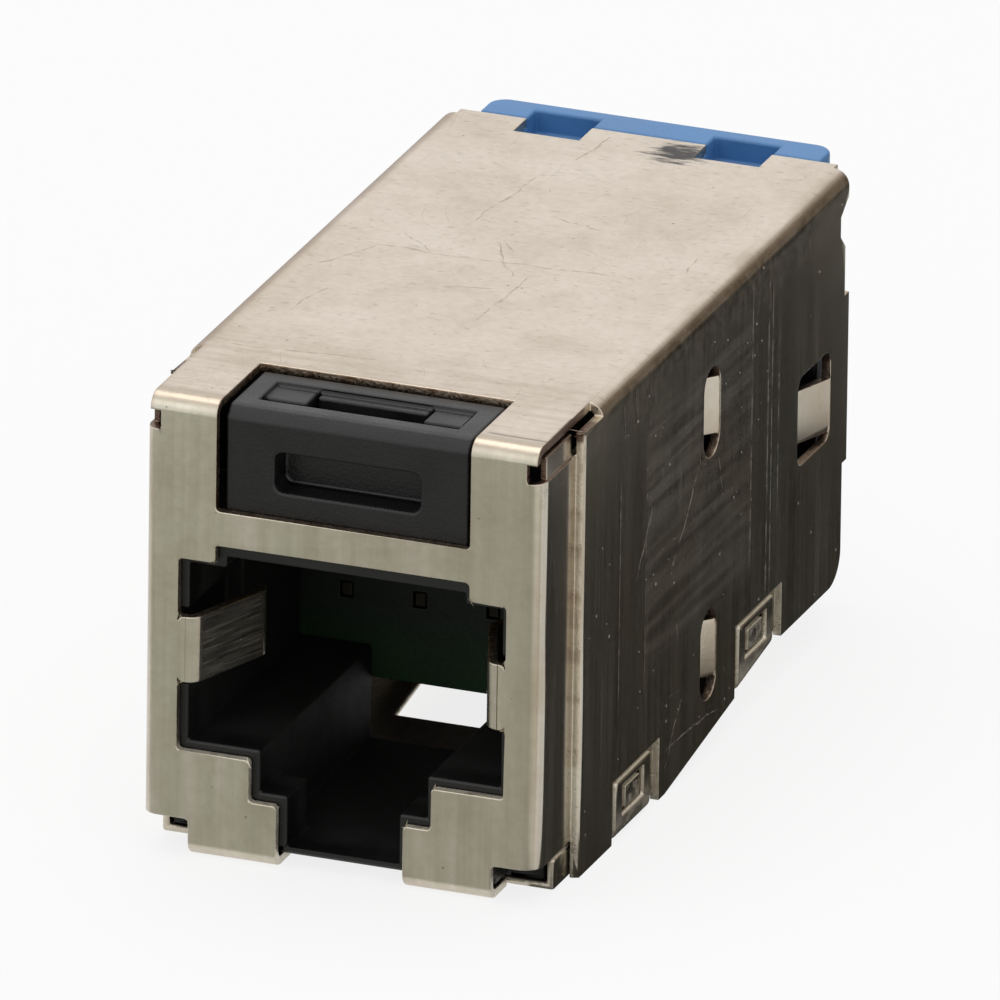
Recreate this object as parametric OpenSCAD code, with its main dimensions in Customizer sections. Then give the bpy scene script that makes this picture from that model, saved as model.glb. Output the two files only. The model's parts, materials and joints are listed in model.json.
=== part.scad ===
// Shielded modular jack with a rear cable entry.
// Millimetres. X runs across, Y runs from the plug side to the cable side, Z is up.
// The origin is the middle of the bottom of the bounding box.

/* [Shell] */
// Outside width across the side panels
shell_w = 15.7; // [15:0.1:18]
// Height of the top plate over the bottom plate
shell_h = 17.4; // [16:0.1:20]
// Depth from the front plate to the rear edge of the top plate
shell_d = 30.6; // [27:0.1:36]
// Thickness of the shell sheet
sheet = 0.35; // [0.25:0.05:0.45]
// Outside radius of the bends
bend_r = 0.6; // [0.5:0.05:0.8]
// Where the side panels begin behind the front plate
panel_front = 3.3; // [2.8:0.1:3.8]
// How far the side panels stop short of the top plate at the rear
panel_short = 0.7; // [0.5:0.1:1]
// Radius of the lower rear corners of the side panels
corner_r = 1.2; // [0.5:0.1:1.6]
// Lower end of the longer tab on the rear edge of a side panel
rear_tab_low = 6.2; // [5:0.1:7]
// Upper end of the longer tab
rear_tab_high = 12.7; // [11.5:0.1:13.5]
// How far the longer tab stands behind the rest of the edge
rear_tab_out = 0.45; // [0.1:0.05:0.5]
// Depth of the neck in the rear edge, under the bend
neck_d = 0.5; // [0.2:0.1:0.6]
// Drop of the neck's middle below the top plate
neck_drop = 1.8; // [1.6:0.1:2.2]
// How far the bends stop short of the top plate at the rear
bend_short = 0.4; // [0.2:0.1:0.5]

/* [Top plate] */
// Inner side of each rear notch, from the middle
notch_in = 2.2; // [1.5:0.1:3]
// Outer side of each rear notch, from the middle
notch_out = 4.7; // [4:0.1:5.5]
// Depth of the rear notches
notch_d = 1.35; // [0.8:0.05:1.8]
// Length of the slits beside the front strips
slit_len = 1.9; // [1:0.1:2.2]
// How far the front strips stay inside the flanges
strip_in = 0.2; // [0.1:0.05:0.5]

/* [Front plate] */
// Depth of the side flanges
flange_d = 4.3; // [4:0.1:5]
// How far the flanges stop below the top plate
flange_drop = 1.3; // [1:0.1:1.8]
// How much thinner the coined ear on top of each flange is
ear_in = 0.1; // [0.05:0.05:0.15]
// Lower edge beside the legs
skirt_z = 1.4; // [1.2:0.1:1.8]
// Outside width of the two legs together
leg_w = 11.5; // [10:0.1:12.5]

/* [Plug opening] */
// Width of the plug opening
open_w = 12.4; // [12.2:0.05:12.8]
// Floor of the wide part
open_floor = 4; // [3.6:0.1:4.4]
// Top of the wide part
open_top = 11.3; // [11:0.05:11.6]
// Width of the raised middle
head_w = 9.6; // [9:0.1:10.2]
// Top of the raised middle
head_top = 12; // [11.8:0.05:12.3]
// Width of the step under the wide part
step_w = 6.9; // [6.6:0.1:7.4]
// Floor of the step
step_floor = 2.4; // [2:0.1:2.8]
// Width of the latch notch between the legs
latch_w = 4.8; // [4.4:0.1:5.2]

/* [Ground springs] */
// Lower edge of the springs
spring_z = 6.6; // [6:0.1:7.2]
// Width of the spring strip
spring_h = 2.5; // [2:0.1:3]
// Length of the straight part
spring_len = 3.2; // [2.5:0.1:3.8]
// Angle to the side of the plug
spring_tilt = 20; // [12:1:25]

/* [Coding block] */
// Width of the cut-out for the block
block_w = 9.6; // [9:0.1:10.2]
// Lower edge of the cut-out in the front plate
block_floor = 13.3; // [13.1:0.1:13.7]
// Rear edge of the cut-out in the top plate
block_back = 4.3; // [4.1:0.1:4.6]
// Gap round the block
block_gap = 0.2; // [0.1:0.05:0.3]
// Bevel at the top front edge of the block
block_bevel = 0.4; // [0.3:0.1:0.8]
// Length of the long slot in the block
block_slot_w = 5.5; // [4:0.1:6.5]
// Height of the long slot
block_slot_h = 1.5; // [0.8:0.1:1.7]
// Depth of the long slot
block_slot_d = 1.1; // [0.3:0.1:1.3]
// Width of the pocket in the top of the block
block_pocket_w = 7.5; // [6:0.1:8.2]
// Width of the deep middle of the pocket
block_deep_w = 4.4; // [3:0.1:5.5]

/* [Lanced slots and windows] */
// Front edge of the slots
slot_y = 15.5; // [14.5:0.1:16]
// Width of the slots
slot_w = 1.6; // [1.2:0.1:2]
// Length of the slots
slot_h = 3.4; // [2.6:0.1:4]
// Lower end of the lower slots
slot_low = 2.1; // [1.9:0.1:3]
// Lower end of the upper slots
slot_high = 11.4; // [10:0.1:12]
// Length of the louvres in the slots
slot_tab = 1.4; // [1:0.1:1.5]
// Angle of the louvres in the slots
slot_tilt = 40; // [30:1:45]
// Distance of the rear windows from the rear edge of the top plate
window_back = 2.1; // [1.8:0.1:3]
// Width of the rear windows
window_d = 3.3; // [2.6:0.1:3.8]
// Lower edge of the rear windows
window_z = 7.7; // [6.5:0.1:8.5]
// Height of the rear windows
window_h = 3.4; // [2.8:0.1:4]
// Radius of the rear windows' corners
window_r = 0.5; // [0.2:0.1:0.8]
// Angle of the louvres in the rear windows
louvre_tilt = 20; // [15:1:32]

/* [Latch pockets] */
// Depth of the pressed pockets
pocket_depth = 0.3; // [0.25:0.05:0.4]
// Front edge of the front pockets
pocket_front = 6.7; // [6.2:0.1:7]
// Front edge of the rear pockets
pocket_rear = 19.1; // [18:0.1:19.5]
// Width of the pockets
pocket_len = 4.7; // [4:0.1:5]
// Height of the pockets over the floor
pocket_h = 2.4; // [2:0.1:2.8]
// Width of the tabs in the pockets
tab_len = 3.5; // [3:0.1:3.7]
// Gap in front of the tabs
tab_off = 0.4; // [0.2:0.1:0.6]
// Width of the nibs
nib_w = 1.4; // [1:0.1:1.8]
// Height of the nibs
nib_h = 0.8; // [0.6:0.1:1]

/* [Bottom cover] */
// Thickness of the cover sheet
cover_t = 0.3; // [0.25:0.05:0.35]
// Front edge of the cover
cover_front = 1.9; // [1.8:0.1:2.3]
// Where the floor begins to rise
ramp_y = 12; // [11.6:0.1:12.6]
// Where the floor is level again
ramp_end = 23.5; // [22.5:0.1:24.5]
// Rise of the floor at the rear
ramp_z = 1.75; // [1.4:0.05:2]
// Outside radius of the folds under the tabs
fold_r = 0.45; // [0.35:0.05:0.6]
// Width of the window in the rising floor
floor_window_w = 6.5; // [4:0.1:8]
// Distance of that window from the board and from the ramp's end
floor_window_gap = 1.6; // [1:0.1:2.4]
// Height of the upturned lips
lip_h = 1.2; // [0.8:0.1:1.25]

/* [Housing] */
// Rim of the housing that shows inside the opening
rim = 0.28; // [0.2:0.02:0.34]
// Rear end of the housing
house_d = 11.5; // [10.8:0.1:12]
// Floor of the latch channel
cavity_floor = 0.75; // [0.7:0.05:0.9]
// Depth of the catch behind the front plate
catch_d = 2.4; // [1.8:0.1:3]

/* [Board and contact wires] */
// Thickness of the board
pcb_t = 1; // [0.8:0.1:1.2]
// Lower edge of the board
pcb_low = 3; // [2.6:0.1:3.6]
// Spacing of the contact wires
pitch = 1.016; // [1:0.002:1.05]
// Width of a contact wire
wire_w = 0.4; // [0.3:0.02:0.5]
// Thickness of a contact wire
wire_t = 0.3; // [0.2:0.02:0.32]
// Middle radius of the contact wires' front bend
wire_r = 0.45; // [0.35:0.05:0.6]
// Front end of the contact wires
wire_front = 3.4; // [2.8:0.1:4]
// Length of the sloping end of a contact wire
wire_tip = 4.8; // [4:0.1:5]
// Slope of the contact wires
wire_slope = 20; // [15:1:22]
// Depth of the contact carrier
carrier_d = 3; // [2:0.1:3.5]

/* [Cutting contacts] */
// Depth of the block that holds them
idc_d = 11; // [9.5:0.1:11.5]
// Gap between the block and the side panels
idc_side = 1.6; // [1.3:0.1:2]
// Lower side of the block
idc_low = 4.4; // [4:0.1:5]
// Gap between the block and the top plate
idc_drop = 1.6; // [1:0.1:2.5]
// Spacing of the cutting contacts
blade_gap = 2.8; // [2.6:0.1:3]
// Thickness of a cutting contact
blade_t = 0.4; // [0.3:0.05:0.5]
// Width of a cutting contact
blade_w = 2; // [1.6:0.1:2.2]
// Length of a cutting contact
blade_len = 6.6; // [5:0.1:7.5]
// Width of its cutting slot
fork_w = 0.3; // [0.2:0.05:0.4]
// Length of its cutting slot
fork_len = 3.6; // [2.5:0.1:4]
// Distance of the rows from the block's upper and lower sides
blade_edge = 0.8; // [0.6:0.1:1.2]
// Width of a core's channel
core_w = 1.4; // [1.2:0.1:1.6]

/* [Rear cap] */
// Radius of the cable entry
entry_r = 3.6; // [3:0.1:4]
// Depth of the cap behind the top plate
cap_lip = 1.6; // [1.2:0.1:2.2]
// How far the cap's lip stays inside the side panels
lip_in = 1.3; // [1:0.05:2]
// Radius of the lip's upright corners
lip_r = 0.7; // [0.3:0.1:1]
// Width of the nose that presses the cores home
nose_w = 10.8; // [9.6:0.1:11.4]
// Depth of the pockets in the cap's top edge
cap_pocket = 0.9; // [0.5:0.1:1.2]
// Wall behind those pockets
cap_wall = 0.7; // [0.5:0.1:1]
// Depth of the recesses in the rear face
cap_recess = 0.6; // [0.3:0.1:0.8]

/* [Clearances] */
// Play between pieces that sit inside each other
fit = 0.05; // [0.03:0.01:0.08]
// Play over the nibs and beside the tabs
loose = 0.15; // [0.1:0.05:0.2]

/* [Hidden] */
$fn = 48;
part_d = shell_d + cap_lip;
half = shell_w / 2;
inner = half - sheet;
plate_half = inner + fit / 2;
body_half = inner - sheet - 2 * fit;
bend_in = bend_r - sheet;
ease = bend_in;
leg_d = cover_front - loose;
strip_half = plate_half - strip_in;
slit_end = panel_front + slit_len;
panel_rear = shell_d - panel_short;
window_y = shell_d - window_back - window_d;
cover_half = inner - fit;
house_y = sheet + fit;
pcb_y = house_d + fit;
pcb_back = pcb_y + pcb_t;
roof_z = shell_h - sheet - fit;
wire_z = open_top - wire_t / 2;
idc_y = pcb_back + fit;
idc_end = idc_y + idc_d;
idc_half = inner - idc_side;
idc_high = roof_z - idc_drop;
blade_low = idc_low + blade_edge;
blade_high = idc_high - blade_edge - blade_w;
entry_z = (idc_low + idc_high) / 2;
cap_y = shell_d - window_back + 5 * fit;
cap_low = ramp_z + cover_t + fit;
lip_half = half - lip_in;

// Height of the floor line at a depth
function floor_z(y) = min(max((y - ramp_y) / (ramp_end - ramp_y), 0), 1) * ramp_z;

// Moves a piece from front-plate depth to the part's frame
module placed() {
  translate([0, -part_d / 2, 0]) children();
}

// Runs a side view along X, centred
module across(width) {
  translate([-width / 2, 0, 0]) rotate([90, 0, 90]) linear_extrude(height = width) children();
}

// A pair of mirrored copies
module both() {
  children();
  mirror([1, 0, 0]) children();
}

// Curved piece of sheet about the Z axis, starting on the X axis
module curl(width, angle) {
  rotate_extrude(angle = angle) translate([bend_in, 0]) square([sheet, width]);
}

// Solid with two rounded upper edges, running in depth
module arch(inset, y0, y1) {
  hw = half - inset;
  top = shell_h - inset;
  r = bend_r - inset;
  translate([-hw, y0, -1]) cube([2 * hw, y1 - y0, top - r + 1]);
  translate([-hw + r, y0, -1]) cube([2 * (hw - r), y1 - y0, top + 1]);
  both() translate([hw - r, y0, top - r]) rotate([-90, 0, 0]) cylinder(r = r, h = y1 - y0);
}

// Everything under the floor line
module under_floor(lift) {
  across(shell_w + 2) polygon([
    [-1, lift], [ramp_y, lift], [ramp_end, ramp_z + lift], [part_d + 1, ramp_z + lift],
    [part_d + 1, -3], [-1, -3]
  ]);
}

// Outline of the plug opening, grown inwards by an inset
module plug_outline(inset, low) {
  translate([-open_w / 2 + inset, open_floor + inset])
    square([open_w - 2 * inset, open_top - open_floor - 2 * inset]);
  translate([-head_w / 2 + inset, open_floor + inset])
    square([head_w - 2 * inset, head_top - open_floor - 3 * inset]);
  translate([-step_w / 2 + inset, step_floor + inset])
    square([step_w - 2 * inset, open_floor - step_floor + 1]);
  translate([-latch_w / 2 + inset, low])
    square([latch_w - 2 * inset, step_floor - low + 1]);
}

// Runs a front view in depth
module in_depth(y0, y1) {
  translate([0, y1, 0]) rotate([90, 0, 0]) linear_extrude(height = y1 - y0) children();
}

// Long hole with round ends through a side panel
module slot_cut(z) {
  r = slot_w / 2;
  translate([inner - 1, slot_y, z + r]) cube([3, slot_w, slot_h - slot_w]);
  for (zc = [z + r, z + slot_h - r])
    translate([inner - 1, slot_y + r, zc]) rotate([0, 90, 0]) cylinder(r = r, h = 3);
}

// Rear window with rounded corners through a side panel
module window_cut() {
  r = window_r;
  translate([inner - 1, window_y + r, window_z]) cube([3, window_d - 2 * r, window_h]);
  translate([inner - 1, window_y, window_z + r]) cube([3, window_d, window_h - 2 * r]);
  for (y = [window_y + r, window_y + window_d - r])
    for (z = [window_z + r, window_z + window_h - r])
      translate([inner - 1, y, z]) rotate([0, 90, 0]) cylinder(r = r, h = 3);
}

// Side view of what is cut away behind a side panel
module rear_edge() {
  neck_y = panel_rear - neck_d;
  neck_z = shell_h - neck_drop;
  bend_y = shell_d - bend_short;
  polygon([
    [panel_rear, -1], [panel_rear, rear_tab_low],
    [panel_rear + rear_tab_out, rear_tab_low], [panel_rear + rear_tab_out, rear_tab_high],
    [panel_rear, rear_tab_high], [panel_rear, neck_z - 2 * neck_d],
    [neck_y, neck_z - neck_d], [neck_y, neck_z + neck_d / 2],
    [bend_y, neck_z + 1.6 * neck_d], [shell_d + 1, neck_z + 1.6 * neck_d], [shell_d + 1, -1]
  ]);
}

module top_and_sides() {
  difference() {
    arch(0, panel_front, shell_d);
    arch(sheet, panel_front - 1, shell_d + 1);
    under_floor(0);
    // Slits that free the front bends
    both() translate([strip_half, panel_front - 1, shell_h - 0.8 * bend_r])
      cube([3, slit_end - panel_front + 1, 3]);
    // Notches at the rear of the top plate
    both() translate([notch_in, shell_d - notch_d, shell_h - 1]) cube([notch_out - notch_in, 3, 2]);
    // Rear edges of the side panels, with one longer tab and a neck under the bend
    both() translate([inner - 1, 0, 0]) rotate([90, 0, 90]) linear_extrude(height = 3) rear_edge();
    both() translate([half - bend_r, shell_d - bend_short, shell_h - 2 * bend_r]) cube([2, 2, 2]);
    // Lanced slots
    both() slot_cut(slot_low);
    both() slot_cut(slot_high);
    // Rear windows
    both() window_cut();
    // Latch pockets
    both() pocket_cut(pocket_front);
    both() pocket_cut(pocket_rear);
    // Rounded lower rear corners
    difference() {
      translate([-half - 1, panel_rear - corner_r, ramp_z - 1])
        cube([shell_w + 2, corner_r + 1, corner_r + 1]);
      translate([-half - 2, panel_rear - corner_r, ramp_z + corner_r]) rotate([0, 90, 0])
        cylinder(r = corner_r, h = shell_w + 4);
    }
  }
}

// Top of the pocket that begins at a depth
function pocket_top(y0) = floor_z(y0 + pocket_len / 2) + pocket_h;
// Lower edge of the nib in that pocket
function nib_z(y0) = pocket_top(y0) - nib_h - 4.3 * loose;

module pocket_cut(y0) {
  translate([inner - 1, y0, -1]) cube([3, pocket_len, pocket_top(y0) + 1]);
}

// Pressed-in floor of a pocket, with its nib
module pocket_web(y0) {
  x0 = half - pocket_depth - sheet;
  difference() {
    translate([x0, y0 - sheet, -1]) cube([sheet, pocket_len + 2 * sheet, pocket_top(y0) + sheet + 1]);
    under_floor(cover_t + fit);
  }
  translate([x0 + sheet - fit, y0 + tab_off + (tab_len - nib_w) / 2, nib_z(y0)])
    cube([pocket_depth, nib_w, nib_h]);
}

module lanced_tabs() {
  // Louvre in each slot, hinged at its rear edge
  for (z = [slot_low, slot_high])
    translate([half, slot_y + slot_w + fit, z + 0.375 * slot_w]) rotate([0, 0, -slot_tilt])
      translate([-sheet, -slot_tab, 0]) cube([sheet, slot_tab, slot_h - 0.75 * slot_w]);
  // Louvre in each rear window, hinged at its rear edge
  translate([half, window_y + window_d + fit, window_z + 0.07 * window_h]) rotate([0, 0, -louvre_tilt])
    translate([-sheet, -0.85 * window_d, 0]) cube([sheet, 0.85 * window_d, 0.6 * window_h]);
}

module ground_spring() {
  xb = open_w / 2 - bend_in;
  translate([xb - fit, 0, spring_z]) cube([bend_r, sheet, spring_h]);
  translate([xb, bend_r, spring_z]) mirror([1, 0, 0]) {
    rotate([0, 0, -90]) curl(spring_h, 90 - spring_tilt);
    rotate([0, 0, -spring_tilt]) {
      translate([bend_in, 0, 0]) cube([sheet, spring_len, spring_h]);
      translate([0, spring_len, 0]) {
        curl(spring_h, 50);
        rotate([0, 0, 50]) translate([bend_in, 0, 0]) cube([sheet, sheet, spring_h]);
      }
    }
  }
}

module front_plate() {
  flange_top = shell_h - flange_drop;
  difference() {
    union() {
      translate([-plate_half + bend_r, 0, skirt_z])
        cube([2 * (plate_half - bend_r), sheet, shell_h - bend_r - skirt_z]);
      // Bend and strip into the top plate
      translate([-strip_half, bend_r, shell_h - bend_r]) rotate([0, 90, 0]) rotate([0, 0, 180])
        curl(2 * strip_half, 90);
      translate([-strip_half, bend_r, shell_h - sheet])
        cube([2 * strip_half, panel_front + fit - bend_r, sheet]);
      // Side flanges
      both() {
        translate([plate_half - bend_r, bend_r, skirt_z]) rotate([0, 0, -90])
          curl(flange_top - skirt_z, 90);
        translate([plate_half - sheet, bend_r, skirt_z])
          cube([sheet, flange_d - bend_r, flange_top - skirt_z]);
        // Coined ear that fills the corner under the strip
        translate([plate_half - sheet, bend_r + fit, flange_top - fit])
          cube([sheet - ear_in, panel_front - bend_r - 4 * fit, flange_drop - sheet - fit]);
      }
      // Legs, turned back under the housing
      translate([-leg_w / 2, 0, bend_r]) cube([leg_w, sheet, skirt_z + fit - bend_r]);
      translate([-leg_w / 2, bend_r, bend_r]) rotate([0, 90, 0]) rotate([0, 0, -90])
        curl(leg_w, 90);
      translate([-leg_w / 2, bend_r, 0]) cube([leg_w, leg_d - bend_r, sheet]);
    }
    in_depth(-1, panel_front) plug_outline(0, -2);
    translate([-block_w / 2, -1, block_floor]) cube([block_w, block_back + 1, shell_h]);
  }
}

module shield_shell() {
  color([0.74, 0.72, 0.66]) placed() {
    difference() {
      top_and_sides();
      translate([-block_w / 2, -1, block_floor]) cube([block_w, block_back + 1, shell_h]);
    }
    front_plate();
    both() {
      ground_spring();
      lanced_tabs();
      pocket_web(pocket_front);
      pocket_web(pocket_rear);
    }
  }
}

// Tab folded up from the cover into a pocket, with a window for the nib
module latch_tab(y0) {
  y1 = y0 + tab_off;
  tilt = atan2(floor_z(y1 + 1) - floor_z(y1), 1);
  x0 = half - pocket_depth + fit / 2;
  top = pocket_top(y0) - loose;
  side = (tab_len - nib_w) / 2 - 2.5 * loose;
  difference() {
    union() {
      translate([x0, y1, -1]) cube([half - x0, tab_len, top + 1]);
      translate([cover_half - 1, y1, -1])
        cube([x0 - cover_half + 1 + fit, tab_len, floor_z(y1 + tab_len) + cover_t + 1]);
    }
    under_floor(0);
    // Rounded fold under the tab
    translate([half, y1 - 1, floor_z(y1 - 1)]) rotate([tilt, 0, 0]) difference() {
      translate([-fold_r, -1, -1]) cube([fold_r + 1, tab_len + 4, fold_r + 1]);
      translate([-fold_r, -2, fold_r]) rotate([-90, 0, 0]) cylinder(r = fold_r, h = tab_len + 6);
    }
    // Space over the folded floor
    difference() {
      translate([cover_half - 2, y1 - 1, -1]) cube([x0 - cover_half + 2, tab_len + 2, top + 2]);
      under_floor(cover_t);
    }
    // Window over the nib
    translate([x0 - 1, y1 + side, nib_z(y0) - loose]) cube([3, tab_len - 2 * side, nib_h + 2 * loose]);
  }
}

module cover_lip(y0, y1, height) {
  difference() {
    translate([cover_half - cover_t, y0, -1]) cube([cover_t, y1 - y0, height + 1 + floor_z(y1)]);
    under_floor(0);
  }
}

module bottom_cover() {
  color([0.7, 0.68, 0.62]) placed() {
    difference() {
      across(2 * cover_half) polygon([
        [cover_front, 0], [ramp_y, 0], [ramp_end, ramp_z], [panel_rear - corner_r, ramp_z],
        [panel_rear - corner_r, ramp_z + cover_t], [ramp_end, ramp_z + cover_t],
        [ramp_y, cover_t], [cover_front, cover_t]
      ]);
      // Window in the rising floor
      translate([-floor_window_w / 2, pcb_back + floor_window_gap, -1])
        cube([floor_window_w, ramp_end - pcb_back - 2 * floor_window_gap, 5]);
      // Room for the latch of a plug
      translate([-latch_w / 2, cover_front - 1, -1]) cube([latch_w, 1 + bend_r, 3]);
    }
    both() {
      cover_lip(cover_front, pocket_front - sheet - loose, lip_h);
      cover_lip(pocket_front + pocket_len + sheet + loose, slot_y, lip_h);
      latch_tab(pocket_front);
      latch_tab(pocket_rear);
    }
  }
}

module coding_block() {
  bw = block_w - 2 * block_gap;
  y0 = house_y;
  y1 = block_back - block_gap;
  top = shell_h - block_gap;
  r = 0.22 * block_slot_h;
  slot_x = block_slot_w / 2 - r;
  slot_rise = block_slot_h / 2 - r;
  slot_z = block_floor + 0.4 * (shell_h - block_floor);
  wall = 0.3 * (y1 - y0);
  difference() {
    across(bw) polygon([
      [y0, block_floor - 1], [y1, block_floor - 1], [y1, top],
      [y0 + block_bevel, top], [y0, top - block_bevel]
    ]);
    // Long slot in the front face, rounded at its corners
    in_depth(y0 - 1, y0 + block_slot_d) {
      for (s = [-1, 1])
        both() translate([slot_x, slot_z + s * slot_rise]) circle(r = r);
      translate([-slot_x, slot_z - slot_rise - r]) square([2 * slot_x, block_slot_h]);
      translate([-slot_x - r, slot_z - slot_rise]) square([block_slot_w, 2 * slot_rise]);
    }
    // Pocket in the top
    translate([-block_pocket_w / 2, y0 + wall, top - 3 * block_bevel])
      cube([block_pocket_w, y1 - y0 - 1.7 * wall, 4]);
  }
  // Shelves at both ends of the pocket, and a rail along its rear side
  both() translate([block_deep_w / 2, y0 + 1.5 * wall, top - 4 * block_bevel])
    cube([(block_pocket_w - block_deep_w) / 2 + fit, y1 - y0 - 2.1 * wall, 3.6 * block_bevel]);
  translate([-block_deep_w / 2 + 2 * fit, y1 - 1.1 * wall, top - 4 * block_bevel])
    cube([block_deep_w - 4 * fit, 0.5 * wall, 3.5 * block_bevel]);
}

module jack_housing() {
  roof = (head_top + block_floor) / 2 + sheet;
  color([0.09, 0.09, 0.1]) placed() {
    difference() {
      union() {
        translate([-body_half, cover_front + fit, cover_t + fit])
          cube([2 * body_half, house_d - cover_front - fit, roof - cover_t - fit]);
        translate([-body_half, house_y, skirt_z]) cube([2 * body_half, house_d - house_y, roof - skirt_z]);
        translate([-leg_w / 2 + fit, house_y, sheet + fit]) cube([leg_w - 2 * fit, cover_front, skirt_z]);
        coding_block();
        // Rear part up to the roof, behind the coding block
        translate([-body_half + sheet, block_back + block_gap, roof - 1])
          cube([2 * (body_half - sheet), house_d - block_back - block_gap, roof_z - roof + 1]);
      }
      // Plug cavity and latch notch
      in_depth(-1, house_d + 1) plug_outline(rim, cavity_floor);
      // Wider latch room behind the catch
      translate([-step_w / 2 + rim, catch_d, cavity_floor])
        cube([step_w - 2 * rim, house_d, open_floor - cavity_floor]);
      // Pockets that the ground springs move into
      both() translate([open_w / 2 - rim - 1, -1, spring_z - loose])
        cube([rim + 1 + (body_half - open_w / 2) / 2, 2 + bend_r + spring_len + 1, spring_h + 2 * loose]);
      // Hollow over the cavity, open to the rear
      translate([-body_half + 5 * sheet, block_back + 1.2, roof + sheet])
        cube([2 * (body_half - 5 * sheet), house_d, roof_z - roof - 3 * sheet]);
      // Eased front edges that clear the bends of the front plate
      both() translate([body_half - ease, -1, -1]) cube([3, house_y + ease + 1, shell_h]);
      translate([-half, -1, -1]) cube([shell_w, house_y + ease + 1, sheet + fit + ease + 1]);
      // Front edge under the skirt
      both() translate([leg_w / 2 - fit, -1, -1]) cube([4, cover_front + 1 + fit, skirt_z + 1 + fit]);
    }
  }
}

// Place of a contact wire across the jack
function wire_x(i) = (i - 4.5) * pitch;

module contact_carrier() {
  ch = head_w / 2 - rim - fit;
  low = wire_z - wire_t - 3 * fit;
  color([0.13, 0.13, 0.14]) placed() {
    difference() {
      translate([-ch, house_d - carrier_d, low - sheet])
        cube([2 * ch, carrier_d, head_top - 2 * rim - fit - low + sheet]);
      for (i = [1:8])
        translate([wire_x(i) - wire_w / 2 - fit, house_d - carrier_d - 1, wire_z - wire_t / 2 - fit])
          cube([wire_w + 2 * fit, carrier_d + 2, wire_t + 2 * fit]);
    }
  }
}

module pcb() {
  color([0.06, 0.28, 0.13]) placed() {
    difference() {
      translate([-body_half + fit, pcb_y, pcb_low])
        cube([2 * (body_half - fit), pcb_t, roof_z - sheet - pcb_low]);
      for (i = [1:8]) {
        translate([wire_x(i), pcb_y - 1, wire_z]) rotate([-90, 0, 0])
          cylinder(d = norm([wire_w, wire_t]) + 2 * fit, h = pcb_t + 2);
        translate([blade_x(i) - blade_t / 2 - fit, pcb_y - 1, blade_z(i) + 0.375 * blade_w - fit])
          cube([blade_t + 2 * fit, pcb_t + 2, 0.25 * blade_w + 2 * fit]);
      }
    }
  }
}

// Hairpin wire: straight into the board, bent round at the front, sloping back down
module contact(i) {
  yc = wire_front + wire_r + wire_t / 2;
  color([0.86, 0.68, 0.28]) placed() translate([wire_x(i), 0, 0]) {
    translate([-wire_w / 2, yc, wire_z - wire_t / 2]) cube([wire_w, pcb_back - fit - yc, wire_t]);
    translate([-wire_w / 2, yc, wire_z - wire_r]) rotate([90, 0, 90]) {
      rotate([0, 0, 90]) rotate_extrude(angle = 180 - wire_slope)
        translate([wire_r - wire_t / 2, 0]) square([wire_t, wire_w]);
      rotate([0, 0, -wire_slope]) translate([0, -wire_r - wire_t / 2, 0]) cube([wire_tip, wire_t, wire_w]);
    }
  }
}

module contact_1() { contact(1); }
module contact_2() { contact(2); }
module contact_3() { contact(3); }
module contact_4() { contact(4); }
module contact_5() { contact(5); }
module contact_6() { contact(6); }
module contact_7() { contact(7); }
module contact_8() { contact(8); }

// Position of a cutting contact in its row
function blade_x(i) = ((i - 1) % 4 - 1.5) * blade_gap;
function blade_z(i) = i <= 4 ? blade_low : blade_high;

module idc_block() {
  color([0.16, 0.16, 0.17]) placed() {
    difference() {
      translate([-idc_half, idc_y, idc_low]) cube([2 * idc_half, idc_d, idc_high - idc_low]);
      for (i = [1:8]) {
        // Seat of the cutting contact
        translate([blade_x(i) - blade_t / 2 - fit, idc_y - 1, blade_z(i) - fit])
          cube([blade_t + 2 * fit, blade_len + 2 * fit + 1, blade_w + 2 * fit]);
        // Channel for the core
        translate([blade_x(i) - core_w / 2, idc_y + blade_len - fork_len, blade_z(i)])
          translate([0, 0, (blade_w - core_w) / 2]) cube([core_w, idc_d, core_w]);
      }
      // Groove for the cap's nose
      translate([-idc_half - 1, idc_end - fork_len, entry_z - core_w / 2])
        cube([2 * idc_half + 2, fork_len + 1, core_w]);
    }
  }
}

// Forked blade with a pin into the board
module idc(i) {
  color([0.8, 0.72, 0.42]) placed() translate([blade_x(i), 0, blade_z(i)]) {
    difference() {
      translate([-blade_t / 2, idc_y + fit, 0]) cube([blade_t, blade_len, blade_w]);
      translate([-blade_t, idc_y + fit + blade_len - fork_len, (blade_w - fork_w) / 2])
        cube([2 * blade_t, fork_len + 1, fork_w]);
    }
    translate([-blade_t / 2, pcb_y + fit, 0.375 * blade_w])
      cube([blade_t, pcb_t + 3 * fit, 0.25 * blade_w]);
  }
}

module idc_1() { idc(1); }
module idc_2() { idc(2); }
module idc_3() { idc(3); }
module idc_4() { idc(4); }
module idc_5() { idc(5); }
module idc_6() { idc(6); }
module idc_7() { idc(7); }
module idc_8() { idc(8); }

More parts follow.
